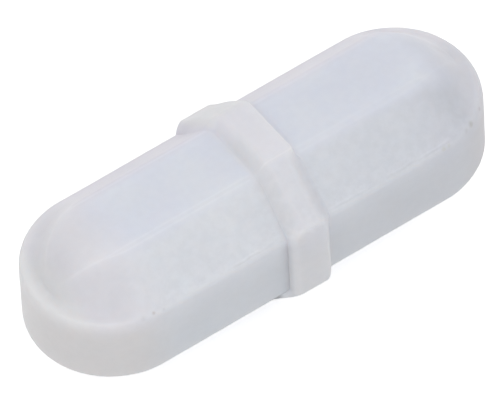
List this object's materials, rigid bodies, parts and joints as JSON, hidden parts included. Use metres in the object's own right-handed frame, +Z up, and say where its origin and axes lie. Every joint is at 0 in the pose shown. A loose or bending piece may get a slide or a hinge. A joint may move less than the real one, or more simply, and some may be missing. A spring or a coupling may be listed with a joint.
{
  "type": "magnetic stir bar",
  "caption": "White octagonal stirring bar with domed ends and a raised pivot ring round its middle, moulded over a sealed rod magnet.",
  "frame": {"origin": "middle of the bar's length, under its axis, on the surface that the pivot ring stands on", "axes": "+X along the bar, +Z up from the surface it stands on"},
  "size_m": [0.0254, 0.0094, 0.0095],
  "materials": {
    "ptfe": "white fluoropolymer, waxy satin",
    "magnet": "cast and ground magnet alloy"
  },
  "bodies": {
    "root": {"jacket": "ptfe", "magnet_core": "magnet"}
  },
  "joints": []
}
